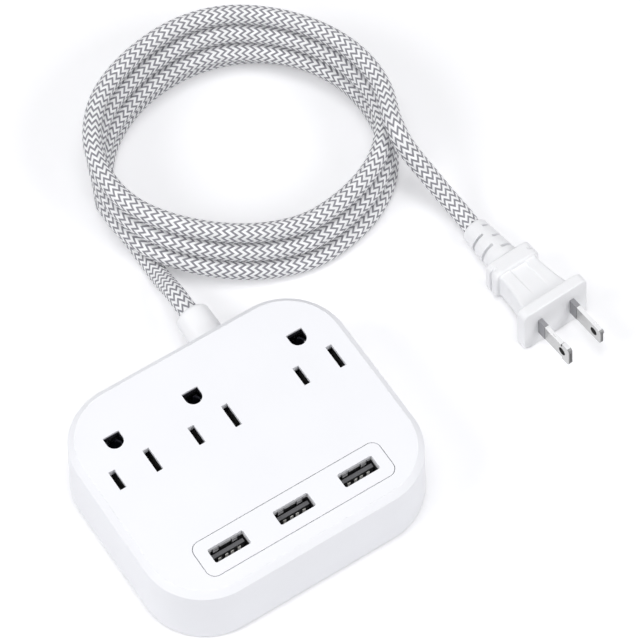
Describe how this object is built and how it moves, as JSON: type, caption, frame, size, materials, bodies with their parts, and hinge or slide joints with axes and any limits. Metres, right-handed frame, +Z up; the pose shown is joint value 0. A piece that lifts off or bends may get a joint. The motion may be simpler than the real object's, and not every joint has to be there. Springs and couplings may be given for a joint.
{
  "type": "desk power strip",
  "caption": "Low rounded white power strip with earthed outlets and USB ports on top, a braided mains cord lying in a coil and a moulded plug with flat blades.",
  "frame": {"origin": "on the table, under the middle of the housing", "axes": "+X along the row of outlets to the right as one reads the top with the USB ports nearest, +Y to the back where the cord leaves, +Z up"},
  "size_m": [0.1749, 0.1891, 0.0277],
  "materials": {
    "housing": "smooth satin white",
    "panel": "smooth satin white",
    "base": "fine matt white",
    "screws": "zinc plated",
    "feet": "matt grey",
    "holder": "flame-proof nylon",
    "contacts": "bright strip",
    "board": "green lacquer",
    "usb_metal": "nickel plated",
    "tongue": "dark grey",
    "usb_gold": "thin gold",
    "ferrite": "sintered",
    "bobbin": "taped winding",
    "cans": "sleeved can",
    "fuse": "moulded",
    "surge": "dipped lacquer",
    "chips": "moulded",
    "wire_black": "smooth",
    "wire_white": "smooth",
    "gland": "smooth soft white",
    "braid": "white and grey zigzag braid",
    "plug": "moulded soft white",
    "bridge": "hard moulding",
    "blades": "nickel plated",
    "sleeves": "dark grey"
  },
  "bodies": {
    "root": {"top_cover": "housing", "base_cover": "base", "usb_panel": "panel", "housing_screws": "screws", "rubber_feet": "feet", "contact_holder": "holder", "hot_bus": "contacts", "neutral_bus": "contacts", "earth_strip": "contacts", "usb_board": "board", "board_screws": "screws", "transformer_core": "ferrite", "transformer_bobbin": "bobbin", "bulk_capacitor": "cans", "output_capacitor": "cans", "fuse": "fuse", "surge_disc": "surge", "rectifier": "chips", "control_chip": "chips", "live_wire": "wire_black", "neutral_wire": "wire_white", "board_live_wire": "wire_black", "board_neutral_wire": "wire_white", "cord_gland": "gland", "cord_lead": "braid", "cord_coil": "braid", "cord_tail": "braid", "plug_body": "plug", "plug_bridge": "bridge", "hot_blade": "blades", "neutral_blade": "blades", "hot_sleeve": "sleeves", "neutral_sleeve": "sleeves", "usb_shell_left": "usb_metal", "usb_tongue_left": "tongue", "usb_contacts_left": "usb_gold", "usb_shell_middle": "usb_metal", "usb_tongue_middle": "tongue", "usb_contacts_middle": "usb_gold", "usb_shell_right": "usb_metal", "usb_tongue_right": "tongue", "usb_contacts_right": "usb_gold"}
  },
  "joints": []
}
